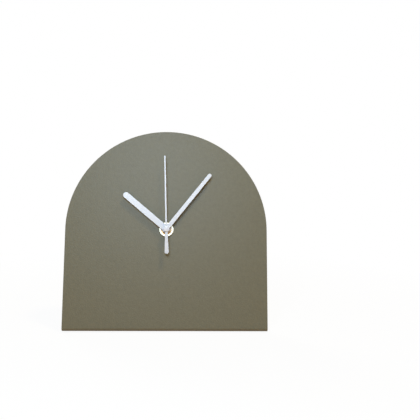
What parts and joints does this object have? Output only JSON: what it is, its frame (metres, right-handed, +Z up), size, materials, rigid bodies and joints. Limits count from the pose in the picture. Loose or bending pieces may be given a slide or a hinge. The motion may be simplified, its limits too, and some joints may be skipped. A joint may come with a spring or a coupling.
{
  "type": "arch table clock",
  "caption": "Arch-faced table clock folded from one sheet, leaning back on a foot, with plain bar hands and a battery quartz movement behind the face.",
  "frame": {"origin": "middle of the clock's plan, on the surface that it stands on", "axes": "+X to the viewer's right, -Y the way the face looks, +Z up"},
  "size_m": [0.2, 0.06, 0.1945],
  "materials": {
    "powder_coat": "fine textured powder coat",
    "hand_lacquer": "satin lacquer",
    "turned_brass": "turned",
    "cap_metal": "satin",
    "steel": "bright drawn",
    "black_moulding": "fine spark texture",
    "white_acetal": "moulded",
    "knob_moulding": "moulded",
    "rubber": "die cut",
    "foam_pad": "die cut foam",
    "copper_wire": "enamelled winding",
    "soft_iron": "stamped",
    "magnet": "sintered",
    "board": "solder mask",
    "resin": "potting drop",
    "nickel": "nickel plated strip",
    "cell_jacket": "shrink film"
  },
  "bodies": {
    "case": {"folded_case": "powder_coat", "foot_pad": "foam_pad", "movement_housing": "black_moulding", "movement_cover": "black_moulding", "middle_plate": "white_acetal", "threaded_bush": "turned_brass", "sealing_washer": "rubber", "dial_nut": "turned_brass", "stator": "soft_iron", "coil_core": "soft_iron", "coil_bobbin": "white_acetal", "coil_winding": "copper_wire", "circuit_board": "board", "controller_chip": "resin", "quartz_crystal": "nickel", "battery": "cell_jacket", "battery_positive_contact": "nickel", "battery_negative_contact": "nickel"},
    "second_hand_assembly": {"second_hand": "hand_lacquer", "second_hand_cap": "cap_metal", "second_arbor": "steel", "seconds_wheel": "white_acetal"},
    "third_wheel_body": {"third_wheel": "white_acetal"},
    "centre_wheel_body": {"centre_wheel": "white_acetal"},
    "intermediate_wheel_body": {"intermediate_wheel": "white_acetal"},
    "rotor": {"rotor_magnet": "magnet", "rotor_pinion": "white_acetal"},
    "minute_hand_assembly": {"minute_hand": "hand_lacquer", "minute_arbor": "turned_brass"},
    "motion_wheel_body": {"motion_wheel": "white_acetal"},
    "hour_hand_assembly": {"hour_hand": "hand_lacquer", "hour_wheel": "white_acetal"},
    "setting_knob_assembly": {"setting_knob": "knob_moulding", "setting_pinion": "white_acetal"}
  },
  "joints": [
    {"name": "second_hand_turn", "type": "hinge", "parent": "case", "child": "second_hand_assembly", "pos_m": [0, -0.00584, 0.09781], "axis": [0, 0.9681, -0.2504], "continuous": true},
    {"name": "third_wheel_turn", "type": "hinge", "parent": "case", "child": "third_wheel_body", "pos_m": [-0.0065, -0.00421, 0.10411], "axis": [0, 0.9681, -0.2504], "continuous": true},
    {"name": "centre_wheel_turn", "type": "hinge", "parent": "case", "child": "centre_wheel_body", "pos_m": [0, -0.00584, 0.09781], "axis": [0, 0.9681, -0.2504], "continuous": true},
    {"name": "intermediate_wheel_turn", "type": "hinge", "parent": "case", "child": "intermediate_wheel_body", "pos_m": [0.00762, -0.00455, 0.10279], "axis": [0, 0.9681, -0.2504], "continuous": true},
    {"name": "rotor_turn", "type": "hinge", "parent": "case", "child": "rotor", "pos_m": [0.01244, -0.00283, 0.10946], "axis": [0, 0.9681, -0.2504], "continuous": true},
    {"name": "minute_hand_turn", "type": "hinge", "parent": "case", "child": "minute_hand_assembly", "pos_m": [0, -0.00584, 0.09781], "axis": [0, 0.9681, -0.2504], "continuous": true},
    {"name": "motion_wheel_turn", "type": "hinge", "parent": "case", "child": "motion_wheel_body", "pos_m": [-0.00827, -0.0062, 0.0964], "axis": [0, 0.9681, -0.2504], "continuous": true},
    {"name": "hour_hand_turn", "type": "hinge", "parent": "case", "child": "hour_hand_assembly", "pos_m": [0, -0.00584, 0.09781], "axis": [0, 0.9681, -0.2504], "continuous": true},
    {"name": "setting_knob_turn", "type": "hinge", "parent": "case", "child": "setting_knob_assembly", "pos_m": [-0.01661, -0.00646, 0.09541], "axis": [0, 0.9681, -0.2504], "continuous": true}
  ],
  "couplings": [
    {"joint": "third_wheel_turn", "follows": "second_hand_turn", "ratio": -0.13333},
    {"joint": "centre_wheel_turn", "follows": "second_hand_turn", "ratio": 0.016667},
    {"joint": "intermediate_wheel_turn", "follows": "second_hand_turn", "ratio": -5},
    {"joint": "rotor_turn", "follows": "second_hand_turn", "ratio": 30},
    {"joint": "motion_wheel_turn", "follows": "minute_hand_turn", "ratio": -0.33333},
    {"joint": "hour_hand_turn", "follows": "minute_hand_turn", "ratio": 0.083333},
    {"joint": "setting_knob_turn", "follows": "minute_hand_turn", "ratio": 1}
  ]
}
